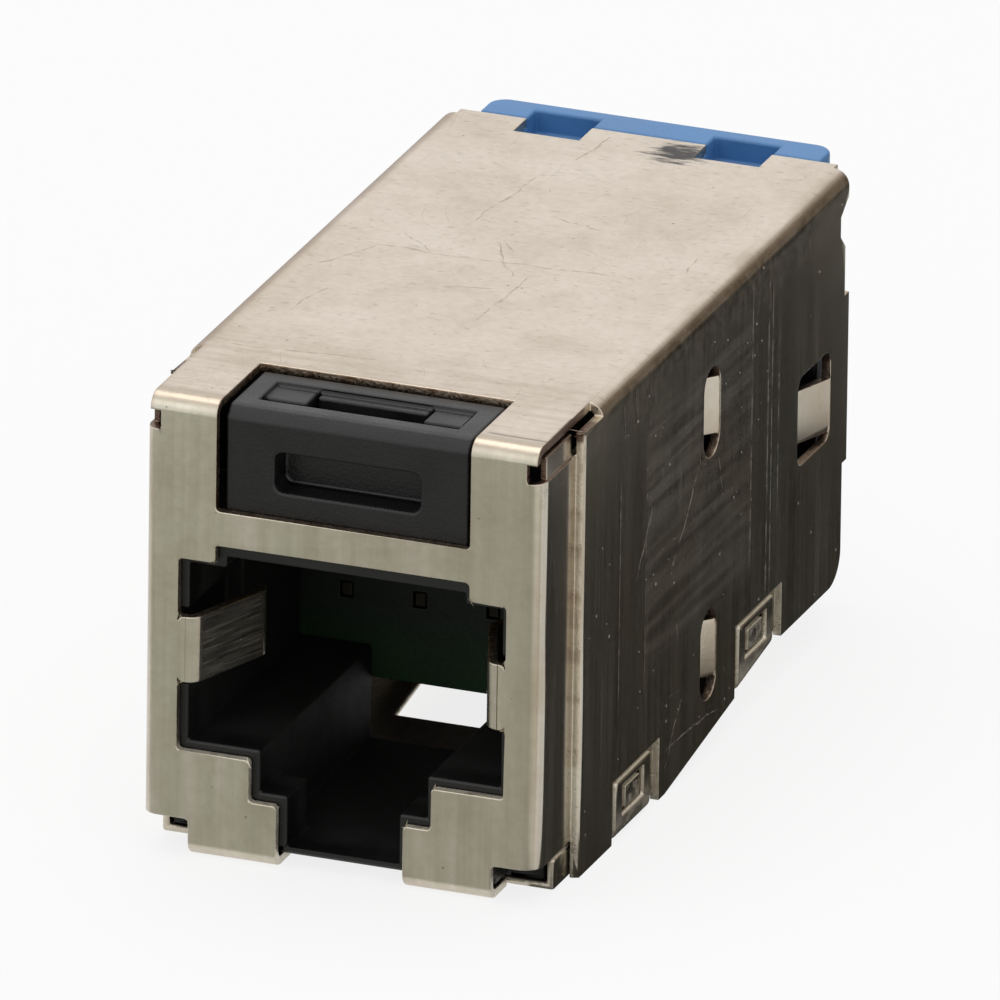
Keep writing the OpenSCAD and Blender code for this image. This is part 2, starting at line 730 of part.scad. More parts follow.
module wire_manager() {
  ch = inner - 6 * fit;
  color([0.2, 0.45, 0.8]) placed() {
    difference() {
      union() {
        translate([-ch, cap_y, cap_low]) cube([2 * ch, shell_d - cap_y, roof_z - cap_low]);
        translate([-lip_half, shell_d - fit, cap_low])
          cube([2 * lip_half, cap_lip + fit - lip_r, shell_h - cap_low]);
        translate([-lip_half + lip_r, shell_d - fit, cap_low])
          cube([2 * (lip_half - lip_r), cap_lip + fit, shell_h - cap_low]);
        both() translate([lip_half - lip_r, part_d - lip_r, cap_low])
          cylinder(r = lip_r, h = shell_h - cap_low);
        // Nose that presses the cores home
        translate([-nose_w / 2, idc_end + fit, idc_low])
          cube([nose_w, cap_y - idc_end, idc_high - idc_low]);
      }
      // Cable entry
      translate([0, idc_end - 1, entry_z]) rotate([-90, 0, 0]) cylinder(r = entry_r, h = part_d);
      // Clear of the rear edge of the top plate
      translate([-half, cap_y - 1, roof_z]) cube([shell_w, shell_d - cap_y + 1 + fit, 2]);
      // Pockets in the top edge, behind the notches of the top plate
      both() translate([notch_in, shell_d - notch_d, shell_h - cap_pocket])
        cube([notch_out - notch_in, notch_d + cap_lip - cap_wall, 2]);
      // Recesses in the rear face
      both() for (z = [cap_low + cap_wall, entry_z + entry_r])
        translate([cap_wall, part_d - cap_recess, z])
          cube([lip_half - 2 * cap_wall, cap_recess + 1, entry_z - entry_r - cap_low - 2 * cap_wall]);
      // Grip notches in the sides
      both() translate([lip_half - cap_recess, part_d - cap_lip - 1, entry_z - entry_r / 2])
        cube([2, cap_lip + 2, entry_r]);
    }
  }
}

shield_shell();
bottom_cover();
jack_housing();
contact_carrier();
pcb();
contact_1();
contact_2();
contact_3();
contact_4();
contact_5();
contact_6();
contact_7();
contact_8();
idc_block();
idc_1();
idc_2();
idc_3();
idc_4();
idc_5();
idc_6();
idc_7();
idc_8();
wire_manager();
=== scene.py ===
import json
import math
from functools import reduce

import bpy
from mathutils import Matrix, Vector

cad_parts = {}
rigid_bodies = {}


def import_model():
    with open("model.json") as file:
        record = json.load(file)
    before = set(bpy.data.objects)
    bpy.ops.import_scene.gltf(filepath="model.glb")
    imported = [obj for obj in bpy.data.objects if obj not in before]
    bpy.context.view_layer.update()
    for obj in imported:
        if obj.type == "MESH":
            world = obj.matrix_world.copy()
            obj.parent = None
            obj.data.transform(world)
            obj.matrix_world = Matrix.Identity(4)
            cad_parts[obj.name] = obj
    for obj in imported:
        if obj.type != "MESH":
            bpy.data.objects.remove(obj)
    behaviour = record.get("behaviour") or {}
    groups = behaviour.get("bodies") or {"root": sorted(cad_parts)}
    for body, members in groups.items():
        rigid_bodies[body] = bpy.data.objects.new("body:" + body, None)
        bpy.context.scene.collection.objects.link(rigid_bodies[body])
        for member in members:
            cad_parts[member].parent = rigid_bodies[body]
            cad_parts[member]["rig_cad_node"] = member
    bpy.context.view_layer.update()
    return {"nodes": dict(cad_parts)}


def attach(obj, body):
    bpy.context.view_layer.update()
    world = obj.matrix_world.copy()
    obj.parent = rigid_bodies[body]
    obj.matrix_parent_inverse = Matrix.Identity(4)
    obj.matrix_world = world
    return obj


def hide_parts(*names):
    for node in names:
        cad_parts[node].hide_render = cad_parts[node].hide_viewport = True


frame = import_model()
nodes = frame["nodes"]
mm = 0.001
print("frame loaded:", len(nodes), "nodes")


# camera: measured from the photograph, almost without perspective
cameraSet = {
    "turn": 20.533, "rise": 21.475, "roll": 0.792, "target": (1.058, -3.1, 9.898), "distance": 1484.2,
    "lens": 1500.0, "sensor": 36, "near": 0.1, "far": 5,
}


def makeCamera(s):
    turn, rise, roll = (math.radians(s[k]) for k in ("turn", "rise", "roll"))
    back = Vector((math.sin(turn) * math.cos(rise), -math.cos(turn) * math.cos(rise), math.sin(rise)))
    right = Vector((math.cos(turn), math.sin(turn), 0))
    up = back.cross(right)
    across = math.cos(roll) * right + math.sin(roll) * up
    upright = -math.sin(roll) * right + math.cos(roll) * up
    place = (Vector(s["target"]) + back * s["distance"]) * mm
    bpy.ops.object.camera_add(location=place)
    cam = bpy.context.active_object
    cam.name = "photoCamera"
    cam.data.lens = s["lens"]
    cam.data.sensor_width = s["sensor"]
    cam.data.clip_start = s["near"]
    cam.data.clip_end = s["far"]
    cam.rotation_euler = Matrix((across, upright, back)).transposed().to_euler()
    bpy.context.scene.camera = cam


makeCamera(cameraSet)
bpy.context.scene.view_settings.view_transform = "Standard"
print("camera placed")


# small helpers for node trees; nodes stand in columns, in the order they are added
treeSet = {"rows": 12, "stepX": 200, "stepY": -180}


def emptyTree(owner):
    owner.use_nodes = True
    owner.node_tree.nodes.clear()
    return owner.node_tree


def feed(tree, socket, value):
    if isinstance(value, tuple):
        socket.default_value = (*value, 1) if socket.type == "RGBA" else value
    elif isinstance(value, (int, float)):
        socket.default_value = value
    else:
        tree.links.new(value, socket)


def addNode(tree, kind, sockets=None, **values):
    node = tree.nodes.new(kind)
    column, row = divmod(len(tree.nodes) - 1, treeSet["rows"])
    node.location = (column * treeSet["stepX"], row * treeSet["stepY"])
    for key, value in values.items():
        setattr(node, key, value)
    for key, value in (sockets or {}).items():
        feed(tree, node.inputs[key], value)
    return node


def mathNode(tree, operation, *values):
    return addNode(tree, "ShaderNodeMath", dict(enumerate(values)), operation=operation).outputs[0]


def product(tree, *values):
    return reduce(lambda one, other: mathNode(tree, "MULTIPLY", one, other), values)


def strongest(tree, *values):
    return reduce(lambda one, other: mathNode(tree, "MAXIMUM", one, other), values)


# start plus each mark times its share
def weigh(tree, start, shares, marks):
    total = start
    for label, share in shares.items():
        total = mathNode(tree, "MULTIPLY_ADD", marks[label], share, total)
    return total


def ramp(tree, value, low, high, toLow=0.0, toHigh=1.0):
    limits = {"Value": value, "From Min": low, "From Max": high, "To Min": toLow, "To Max": toHigh}
    return addNode(tree, "ShaderNodeMapRange", limits, interpolation_type="SMOOTHSTEP").outputs["Result"]


def between(tree, value, low, high, soft):
    rise = ramp(tree, value, low - soft, low + soft)
    return product(tree, rise, ramp(tree, value, high - soft, high + soft, 1.0, 0.0))


# limits along each axis, multiplied: three values make a band with soft ends, two or four a ramp
def zone(tree, at, limits):
    return product(tree, *((between if len(given) == 3 else ramp)(tree, at[axis], *given)
                           for axis, given in limits.items()))


def splitPlace(tree, vector):
    return dict(zip("xyz", addNode(tree, "ShaderNodeSeparateXYZ", {0: vector}).outputs))


def farAway(tree, offX, offY):
    return mathNode(tree, "SQRT", mathNode(tree, "MULTIPLY_ADD", offX, offX, product(tree, offY, offY)))


def mixColour(tree, mask, first, second):
    node = addNode(tree, "ShaderNodeMix", data_type="RGBA")
    for socket, value in zip([i for i in node.inputs if i.enabled], (mask, first, second)):
        feed(tree, socket, value)
    return [o for o in node.outputs if o.enabled][0]


def bump(tree, height, strength, distance):
    given = {"Height": height, "Strength": strength, "Distance": distance}
    return addNode(tree, "ShaderNodeBump", given).outputs[0]


def startGroup(name, inputs):
    tree = bpy.data.node_groups.new(name, "ShaderNodeTree")
    tree.interface.new_socket("Vector", in_out="INPUT", socket_type="NodeSocketVector")
    for label, value in inputs.items():
        tree.interface.new_socket(label, in_out="INPUT", socket_type="NodeSocketFloat").default_value = value
    tree.interface.new_socket("Mask", in_out="OUTPUT", socket_type="NodeSocketFloat")
    begin = addNode(tree, "NodeGroupInput")
    end = addNode(tree, "NodeGroupOutput")
    return tree, begin.outputs, end.inputs["Mask"]


# values by name, or as a row in the order of the group's inputs
def placeGroup(tree, group, vector, *row, **values):
    node = addNode(tree, "ShaderNodeGroup", {"Vector": vector, **values}, node_tree=group)
    for socket, value in zip(node.inputs[1:], row):
        socket.default_value = value
    return node.outputs["Mask"]


def gatherMarks(tree, group, vector, rows, *shared):
    return strongest(tree, *(placeGroup(tree, group, vector, *row, *shared) for row in rows))


# shared effects, all in millimetres; a mark fades from its core to its rim
effectSet = {
    "lineCore": 0.3, "leastLine": 0.3, "speckFade": (0.6, 1.1), "rubCore": 0.2, "rubEnds": 1.5,
    "strokeCore": 0.2, "strokeTaper": (2.4, 0.4),
}


def makeHairlines(s):
    tree, given, mask = startGroup(
        "hairlines", {"Turn": 0.0, "Scale": 4.0, "Stretch": 200.0, "Thin": 0.05, "Share": 0.5})
    turned = addNode(tree, "ShaderNodeVectorRotate", {"Vector": given["Vector"], "Angle": given["Turn"]},
                     rotation_type="Z_AXIS")
    at = splitPlace(tree, turned.outputs[0])
    along = product(tree, mathNode(tree, "DIVIDE", at["x"], given["Stretch"]), given["Scale"])
    cell = addNode(tree, "ShaderNodeCombineXYZ", {"X": along, "Y": product(tree, at["y"], given["Scale"])})
    cells = addNode(tree, "ShaderNodeTexVoronoi", {"Vector": cell.outputs[0], "Scale": 1.0},
                    voronoi_dimensions="2D", feature="F1")
    dice = addNode(tree, "ShaderNodeSeparateColor", {0: cells.outputs["Color"]}).outputs
    size, depth = (mathNode(tree, "MULTIPLY_ADD", dice[k], 1 - s["leastLine"], s["leastLine"])
                   for k in ("Green", "Blue"))
    near = mathNode(tree, "DIVIDE", cells.outputs["Distance"], product(tree, size, given["Thin"]))
    line = ramp(tree, near, s["lineCore"], 1.0, 1.0, 0.0)
    kept = mathNode(tree, "GREATER_THAN", dice["Red"], given["Share"])
    feed(tree, mask, product(tree, line, kept, depth))
    return tree


def makeSpecks(s):
    tree, given, mask = startGroup("dustSpecks", {"Scale": 1.2, "Size": 0.06, "Share": 0.6})
    cells = addNode(tree, "ShaderNodeTexVoronoi", {k: given[k] for k in ("Vector", "Scale")}, feature="F1")
    dice = addNode(tree, "ShaderNodeSeparateColor", {0: cells.outputs["Color"]}).outputs
    size = product(tree, dice["Green"], given["Size"])
    dot = ramp(tree, mathNode(tree, "DIVIDE", cells.outputs["Distance"], size), *s["speckFade"], 1.0, 0.0)
    kept = mathNode(tree, "GREATER_THAN", dice["Red"], given["Share"])
    feed(tree, mask, product(tree, dot, kept))
    return tree


def makeMottle():
    tree, given, mask = startGroup(
        "mottle", {"Scale": 0.3, "Detail": 5.0, "Low": 0.3, "High": 0.7, "Along": 1.0, "Across": 1.0})
    sized = addNode(tree, "ShaderNodeCombineXYZ", {"X": given["Along"], "Y": given["Across"], "Z": 1.0})
    pulled = addNode(tree, "ShaderNodeVectorMath", {0: given["Vector"], 1: sized.outputs[0]},
                     operation="MULTIPLY")
    noise = addNode(tree, "ShaderNodeTexNoise",
                    {"Vector": pulled.outputs[0], "Scale": given["Scale"], "Detail": given["Detail"]})
    feed(tree, mask, ramp(tree, noise.outputs["Fac"], given["Low"], given["High"]))
    return tree


def makeRubLine(s):
    tree, given, mask = startGroup("rubLine", {"Place": 0.0, "Width": 0.06, "Low": 4.0, "High": 14.0})
    at = splitPlace(tree, given["Vector"])
    off = mathNode(tree, "ABSOLUTE", mathNode(tree, "SUBTRACT", at["x"], given["Place"]))
    line = ramp(tree, mathNode(tree, "DIVIDE", off, given["Width"]), s["rubCore"], 1.0, 1.0, 0.0)
    rise = ramp(tree, mathNode(tree, "SUBTRACT", at["y"], given["Low"]), 0.0, s["rubEnds"])
    fall = ramp(tree, mathNode(tree, "SUBTRACT", given["High"], at["y"]), 0.0, s["rubEnds"])
    feed(tree, mask, product(tree, line, rise, fall))
    return tree


# one scratch between two points
def makeStroke(s):
    tree, given, mask = startGroup(
        "stroke", {"FromX": 0.0, "FromY": 0.0, "ToX": 1.0, "ToY": 0.0, "Width": 0.05})
    at = splitPlace(tree, given["Vector"])
    acrossX, acrossY = (mathNode(tree, "SUBTRACT", given["To" + k], given["From" + k]) for k in "XY")
    fromX = mathNode(tree, "SUBTRACT", at["x"], given["FromX"])
    fromY = mathNode(tree, "SUBTRACT", at["y"], given["FromY"])
    along = mathNode(tree, "MULTIPLY_ADD", fromX, acrossX, product(tree, fromY, acrossY))
    whole = mathNode(tree, "MULTIPLY_ADD", acrossX, acrossX, product(tree, acrossY, acrossY))
    share = strongest(tree, mathNode(tree, "DIVIDE", along, whole), 0.0)
    share = mathNode(tree, "MINIMUM", share, 1.0)
    offX = mathNode(tree, "SUBTRACT", fromX, product(tree, share, acrossX))
    offY = mathNode(tree, "SUBTRACT", fromY, product(tree, share, acrossY))
    taper = product(tree, share, mathNode(tree, "SUBTRACT", 1.0, share))
    width = product(tree, given["Width"], mathNode(tree, "MULTIPLY_ADD", taper, *s["strokeTaper"]))
    near = mathNode(tree, "DIVIDE", farAway(tree, offX, offY), width)
    feed(tree, mask, ramp(tree, near, s["strokeCore"], 1.0, 1.0, 0.0))
    return tree


hairlines = makeHairlines(effectSet)
stroke = makeStroke(effectSet)
specks = makeSpecks(effectSet)
mottle = makeMottle()
rubLine = makeRubLine(effectSet)


def startMaterial(name):
    made = bpy.data.materials.new(name)
    tree = emptyTree(made)
    shader = addNode(tree, "ShaderNodeBsdfPrincipled")
    addNode(tree, "ShaderNodeOutputMaterial", {"Surface": shader.outputs[0]})
    place = addNode(tree, "ShaderNodeTexCoord")
    sized = addNode(tree, "ShaderNodeVectorMath", {0: place.outputs["Object"], "Scale": 1 / mm},
                    operation="SCALE")
    return made, tree, shader.inputs, sized.outputs[0]


# flat coordinates on each face of the sheet, with masks for the way it faces
faceSet = {"sideways": (0.6, 0.95), "forward": (0.5, 0.9)}


def facePlane(tree, spot, s):
    way = splitPlace(tree, addNode(tree, "ShaderNodeNewGeometry").outputs["Normal"])
    sideways = ramp(tree, mathNode(tree, "ABSOLUTE", way["x"]), *s["sideways"])
    forward = ramp(tree, mathNode(tree, "ABSOLUTE", way["y"]), *s["forward"])
    at = splitPlace(tree, spot)
    at["absX"] = mathNode(tree, "ABSOLUTE", at["x"])
    at["sideY"] = product(tree, at["y"], mathNode(tree, "SIGN", at["x"]))  # mirrored on the left side
    turned = mathNode(tree, "SUBTRACT", at["sideY"], at["x"])
    raised = mathNode(tree, "SUBTRACT", at["z"], at["y"])
    across = mathNode(tree, "MULTIPLY_ADD", sideways, turned, at["x"])
    upward = mathNode(tree, "MULTIPLY_ADD", strongest(tree, sideways, forward), raised, at["y"])
    plane = addNode(tree, "ShaderNodeCombineXYZ", {"X": across, "Y": upward})
    return plane.outputs[0], sideways, forward, at


# coordinates that wander, so that lines drawn in them bend
def bendPlane(tree, plane, reach, scale):
    warp = addNode(tree, "ShaderNodeTexNoise", {"Vector": plane, "Scale": scale, "Detail": 2},
                   noise_dimensions="2D")
    pull = addNode(tree, "ShaderNodeVectorMath",
                   {0: warp.outputs["Color"], 1: (reach, reach, 0), 2: (-reach / 2, -reach / 2, 0)},
                   operation="MULTIPLY_ADD")
    moved = addNode(tree, "ShaderNodeVectorMath", {0: plane, 1: pull.outputs[0]}, operation="ADD")
    return moved.outputs[0]


# plated sheet; a zone's limits and the rows of marks are in millimetres
nickelSet = {
    # the top, front and side faces are one plating, each given its own tone: painted light and shade by the
    # way the face is turned
    "top": (0.712, 0.628, 0.537), "front": (0.78, 0.71, 0.63), "cool": (0.7, 0.7, 0.58),
    "side": (0.5, 0.475, 0.41), "stain": (0.36, 0.285, 0.195), "darkLine": (0.2, 0.165, 0.12),
    "lightLine": (0.72, 0.68, 0.6), "grime": (0.33, 0.28, 0.21), "ink": (0.011, 0.012, 0.014),
    "rust": (0.27, 0.175, 0.11),
    # blotches, by the coordinates that they are drawn in
    "onSpot": {
        "cloud": {"Scale": 0.22, "Detail": 6},
        "fine": {"Scale": 3.2, "Detail": 5},
        "blush": {"Scale": 0.55, "Detail": 7, "Low": 0.46, "High": 0.68},
        "dusty": {"Scale": 5.0, "Detail": 4, "Low": 0.5, "High": 0.72},
        "soil": {"Scale": 2.4, "Detail": 7, "Low": 0.34, "High": 0.72},
        "pitted": {"Scale": 1.5, "Detail": 7, "Low": 0.38, "High": 0.62, "Across": 0.5},
        "blots": {"Scale": 1.5, "Detail": 6, "Low": 0.25, "High": 0.75, "Along": 0.8, "Across": 2.4},
        "nibWear": {"Scale": 2.6, "Detail": 3, "Low": 0.42, "High": 0.6},
    },
    "onPlane": {
        "combed": {"Scale": 1.0, "Detail": 5, "Along": 5.0, "Across": 0.12},
        "drawn": {"Scale": 1.0, "Detail": 5, "Along": 0.14, "Across": 2.6},
        "bands": {"Scale": 1.0, "Detail": 3, "Along": 0.75, "Across": 0.05},
        "patchy": {"Scale": 1.8, "Detail": 5, "Low": 0.3, "High": 0.62},
        "grooves": {"Scale": 1.0, "Detail": 3, "Along": 0.5, "Across": 9.0},
    },
    "onBent": {
        "dashes": {"Scale": 1.0, "Detail": 4, "Low": 0.54, "High": 0.74, "Along": 0.9, "Across": 7.0},
        "nicks": {"Scale": 2.4, "Detail": 3, "Low": 0.6, "High": 0.7, "Along": 0.9, "Across": 2.2},
    },
    "bent": (2.6, 0.16), "wavy": (0.5, 0.6), "dots": {"Scale": 1.5, "Size": 0.1, "Share": 0.6},
    # hairlines: turn, scale, stretch, thinness, share left out
    "topLines": [(0.35, 4.0, 260, 0.06, 0.3), (2.3, 3.6, 220, 0.06, 0.4), (1.2, 5.0, 70, 0.08, 0.6),
                 (-0.5, 4.5, 160, 0.065, 0.4), (2.9, 3.0, 300, 0.045, 0.3), (1.7, 4.5, 110, 0.07, 0.6)],
    "sideLines": [(1.3, 3.2, 150, 0.055, 0.55), (1.72, 2.6, 260, 0.05, 0.45), (0.06, 3.0, 300, 0.04, 0.5)],
    # scratches: from x, y to x, y on the face
    "topStrokes": [(-1.29, 2.53, 0.39, -0.45), (-1.14, 2.73, -0.37, 1.8), (-5.6, 0.64, -2.27, 0.6),
                   (-2.27, 0.6, 4.44, 1.0), (-7.1, -10.6, -1.15, -9.95), (-4.68, 2.02, -2.9, 0.51),
                   (-2.97, 3.64, -2.18, 9.63), (0.77, -4.91, 1.03, -0.1), (-1.51, -2.28, 0.36, -1.72),
                   (-6.75, -2.45, -5.14, 0.47), (-0.49, 5.73, 1.88, 4.93), (5.91, 3.95, 6.07, 2.24),
                   (-1.2, 13.9, -1.6, 11.2), (-5.82, -6.55, -5.32, -4.1)],
    "sideStrokes": [(-5.83, 11.67, -7.21, 9.46), (-0.99, 11.66, -3.8, 8.22), (-2.34, 3.38, -4.2, 1.0),
                    (-4.17, 1.65, 1.1, 1.47)],
    "topWidth": 0.065, "sideWidth": 0.06, "lineDepth": 0.8, "bareFaces": {"forward": -0.6, "sideways": -1.0},
    # upright rubbed lines: place along the side, width, bottom, top
    "rubs": [(-6.35, 0.07, 4.6, 14.9), (-9.0, 0.06, 4.5, 14.5), (4.3, 0.09, 5.0, 17.2),
             (5.95, 0.1, 3.0, 17.2), (6.35, 0.07, 3.4, 16.6), (7.05, 0.06, 6.0, 14.5)],
    # zones
    "ghost": {"sideY": (-6.3, 4.3, 0.15), "z": (5.6, 15.3, 0.8)},
    "grimeBand": {"z": (15.5, 17.5, 0.8)},
    "rear": {"sideY": (7.0, 14.0)},
    # painted shade: the front plate darker towards the right
    "plateRight": {"x": (-6.0, 7.5, 0.0, 0.14)},
    "nearFront": {"y": (-6.0, -11.5, 0.0, 0.3)},
    # painted dark reflection on the bends into the sides, mottled like wear
    "nearEdge": {"absX": (6.9, 7.6, 0.0, 0.55)},
    "leftEdge": {"x": (-7.15, -7.5, 0.0, 0.7), "z": (16.6, 17.0)},
    # painted dark reflection on the lower part of the bends into the sides, mottled with pits
    "lowerBend": {"z": (16.75, 17.18, 0.12), "absX": (7.3, 7.5)},
    # painted dark reflection on the upper half of the front bend
    "frontBend": {"y": (-16.0, -15.2, 0.12), "z": (17.0, 17.25, 0.0, 0.42)},
    "spring": {"absX": (6.3, 6.6, 1.0, 0.0), "y": (-12.9, -12.2, 1.0, 0.1), "z": (6.5, 9.2, 0.1)},
    "tabs": [{"y": (-9.3, -4.9, 0.1)}, {"y": (3.1, 7.6, 0.1)}], "tabRise": {"rise": (0.3, 1.7, 0.8, 0.0)},
    "nibs": [{"y": (-7.9, -6.6, 0.1)}, {"y": (4.5, 5.8, 0.1)}], "nibRise": {"rise": (1.0, 1.7, 0.12)},
    "tabFloor": (-4.1, 7.4, 0.0, 1.75),
    "scoreWander": (0.14, -15.09), "scoreFade": (0.03, 0.1, 0.75, 0.0), "scoreStart": {"x": (4.9, 5.3)},
    "inkSpot": (1.55, 13.25, 1.15, 1.05), "inkRagged": 0.9, "inkFade": (0.8, 1.65, 0.95, 0.0),
    # shares of the marks in colour, metal and roughness; a pair is a gain and a start
    "stained": {"cloud": 0.2, "blush": 0.13, "fine": 0.13}, "brushed": {"combed": 0.1, "bands": 0.24},
    "lined": {"dashes": 0.16, "nicks": 0.3, "lines": 0.5}, "grimeShare": 0.7,
    "lint": (0.15, 0.6), "pits": (0.5, 0.42), "springShine": (0.24, 0.06), "tabWear": (0.6, 0.4),
    "nibShare": 0.55, "clear": -0.01,
    "haze": {"combed": 0.07, "dusty": 0.05, "bands": 0.05, "rear": 0.03, "ghost": 0.11, "rubs": 0.4,
             "lines": 0.34, "grime": 0.2, "lint": 0.6},
    "metal": {"hazy": -1.0, "ink": -0.9},
    "topRough": 0.3,
    "rough": {"sideways": -0.17, "forward": 0.03, "cloud": 0.05, "lines": 0.15, "ghost": 0.05, "lint": 0.4,
              "ink": 0.25},
    "bump": (0.1, 0.00003),
}


def makeNickel(s):
    made, tree, shader, spot = startMaterial("platedSheet")
    plane, sideways, forward, at = facePlane(tree, spot, faceSet)
    level = mathNode(tree, "SUBTRACT", 1.0, strongest(tree, sideways, forward))
    bent = bendPlane(tree, plane, *s["bent"])
    wavy = bendPlane(tree, plane, *s["wavy"])
    marks = {"sideways": sideways, "forward": forward, "rear": zone(tree, at, s["rear"])}
    for label, vector in (("onSpot", spot), ("onPlane", plane), ("onBent", bent)):
        for mark, values in s[label].items():
            marks[mark] = placeGroup(tree, mottle, vector, **values)
    cloud, drawn, patchy, pitted = (marks[k] for k in ("cloud", "drawn", "patchy", "pitted"))
    # fine lines, dark on the bright faces and light on the dark ones
    topLines = product(tree, gatherMarks(tree, hairlines, bent, s["topLines"]), s["lineDepth"])
    topStrokes = gatherMarks(tree, stroke, wavy, s["topStrokes"], s["topWidth"])
    topLines = strongest(tree, topLines, product(tree, topStrokes, patchy, level))
    topLines = product(tree, topLines, weigh(tree, 1.0, s["bareFaces"], marks))
    sideLines = gatherMarks(tree, hairlines, wavy, s["sideLines"])
    sideStrokes = gatherMarks(tree, stroke, wavy, s["sideStrokes"], s["sideWidth"])
    sideLines = product(tree, strongest(tree, sideLines, sideStrokes), patchy, sideways)
    marks["lines"] = strongest(tree, topLines, sideLines)
    marks["rubs"] = product(tree, gatherMarks(tree, rubLine, plane, s["rubs"]), patchy)
    # short dark dashes of the rolled surface
    marks["dashes"] = product(tree, marks["dashes"], patchy, level)
    marks["nicks"] = product(tree, marks["nicks"], level)
    dots = placeGroup(tree, specks, spot, **s["dots"])
    marks["lint"] = product(tree, dots, mathNode(tree, "MULTIPLY_ADD", sideways, *s["lint"]))
    # worn field on the sides where something sat against the sheet
    marks["ghost"] = product(tree, zone(tree, at, s["ghost"]), drawn)
    marks["grime"] = product(tree, zone(tree, at, s["grimeBand"]), marks["soil"])
    # ink smudge near the rear edge
    inkX, inkY, wide, deep = s["inkSpot"]
    offX = mathNode(tree, "DIVIDE", mathNode(tree, "SUBTRACT", at["x"], inkX), wide)
    offY = mathNode(tree, "DIVIDE", mathNode(tree, "SUBTRACT", at["y"], inkY), deep)
    ragged = mathNode(tree, "MULTIPLY_ADD", marks["blots"], s["inkRagged"], farAway(tree, offX, offY))
    marks["ink"] = product(tree, ramp(tree, ragged, *s["inkFade"]), level)
    # score line behind the bend into the front plate, painted as a dark line of shade in its groove
    wander = mathNode(tree, "MULTIPLY_ADD", cloud, *s["scoreWander"])
    off = mathNode(tree, "ABSOLUTE", mathNode(tree, "SUBTRACT", at["y"], wander))
    scoreLineShade = product(tree, ramp(tree, off, *s["scoreFade"]), level, zone(tree, at, s["scoreStart"]))
    # colour, one coat over the other
    # brush streaks on the front plate, laid over painted shade that darkens it towards the right
    brushed = weigh(tree, zone(tree, at, s["plateRight"]), s["brushed"], marks)
    pits = mathNode(tree, "MULTIPLY_ADD", pitted, *s["pits"])
    lineTone = mixColour(tree, sideways, s["darkLine"], s["lightLine"])
    coats = (
        (forward, mixColour(tree, marks["bands"], s["front"], s["cool"])),
        (weigh(tree, 0.0, s["stained"], marks), s["stain"]),
        (product(tree, brushed, forward), s["stain"]),
        (product(tree, zone(tree, at, s["nearFront"]), level, drawn), s["stain"]),
        # this coat and the one on the lower bend: painted dark reflection on the bends into the sides,
        # partly mottled wear and pitting
        (product(tree, zone(tree, at, s["nearEdge"]), cloud), s["stain"]),
        (zone(tree, at, s["leftEdge"]), s["rust"]),
        (product(tree, zone(tree, at, s["lowerBend"]), pits), s["darkLine"]),
        # painted dark reflection on the upper half of the front bend
        (zone(tree, at, s["frontBend"]), s["stain"]),
        # painted shade along the score line
        (scoreLineShade, s["darkLine"]),
        (weigh(tree, 0.0, s["lined"], marks), lineTone),
        (marks["lint"], lineTone),
        (product(tree, marks["grime"], sideways, s["grimeShare"]), s["grime"]),
        (marks["ink"], s["ink"]),
    )
    # painted light and shade: the sides darker than the top, the front lighter
    colour = mixColour(tree, sideways, s["top"], s["side"])
    for mask, tone in coats:
        colour = mixColour(tree, mask, colour, tone)
    feed(tree, shader["Base Color"], colour)
    # ground springs, rubbed by the plug
    shine = mathNode(tree, "MULTIPLY_ADD", marks["grooves"], *s["springShine"])
    sprung = product(tree, zone(tree, at, s["spring"]), shine)
    # latch tabs, rubbed pale near their folds and on the nibs
    at["rise"] = mathNode(tree, "SUBTRACT", at["z"], ramp(tree, at["y"], *s["tabFloor"]))
    tabs, nibs = (strongest(tree, *(zone(tree, at, span) for span in s[k])) for k in ("tabs", "nibs"))
    wear = mathNode(tree, "MULTIPLY_ADD", pitted, *s["tabWear"])
    tabbed = product(tree, tabs, zone(tree, at, s["tabRise"]), wear)
    nibbed = product(tree, nibs, zone(tree, at, s["nibRise"]), marks["nibWear"])
    rubbed = mathNode(tree, "MULTIPLY_ADD", nibbed, s["nibShare"], tabbed)
    # share that scatters instead of mirroring
    haze = strongest(tree, weigh(tree, s["clear"], s["haze"], marks), sprung, rubbed)
    marks["hazy"] = product(tree, haze, sideways)
    feed(tree, shader["Metallic"], weigh(tree, 1.0, s["metal"], marks))
    feed(tree, shader["Roughness"], weigh(tree, s["topRough"], s["rough"], marks))
    calm = mathNode(tree, "SUBTRACT", 1.0, sideways)
    feed(tree, shader["Normal"], bump(tree, product(tree, marks["fine"], calm), *s["bump"]))
    return made


cutEdgeSet = {
    "bright": (0.62, 0.54, 0.43), "dull": (0.22, 0.125, 0.07), "burnished": (0.82, 0.76, 0.62),
    # dark brown: oxide on the cut edges at the fold corners, with painted shade in the slits and round the
    # slots
    "burnt": (0.13, 0.075, 0.055),
    "cloud": {"Scale": 1.5, "Detail": 4, "Low": 0.42, "High": 0.68}, "streak": {"Scale": 9.0, "Detail": 3},
    "inner": {"z": (12.6, 13.2), "y": (-10.5, -11.0), "absX": (5.2, 5.6, 1.0, 0.0)},
    "corner": {"z": (15.3, 15.8), "y": (-13.2, -13.0, 0.9, 0.0)},
    "slit": {"z": (16.5, 16.7), "y": (-11.7, -11.2, 0.9, 0.0)}, "fold": {"absX": (6.4, 6.8)},
    # painted shade on the cut edges round the slots and windows
    "rims": [{"y": (-0.9, 1.3, 0.1), "z": (1.8, 5.8, 0.1)}, {"y": (-0.9, 1.3, 0.1), "z": (11.1, 15.1, 0.1)},
             {"y": (8.8, 12.7, 0.1), "z": (7.4, 11.4, 0.1)}],
    "pocket": {"z": (4.0, 4.4, 1.0, 0.0)},
    "tarnish": {"inner": 0.5, "cloud": 0.45}, "rimWear": (0.4, 0.45), "pocketWear": (-0.35, 0.9),
    "metal": (-0.6, 1.0), "rough": (0.2, 0.26), "bump": (0.25, 0.00003),
}


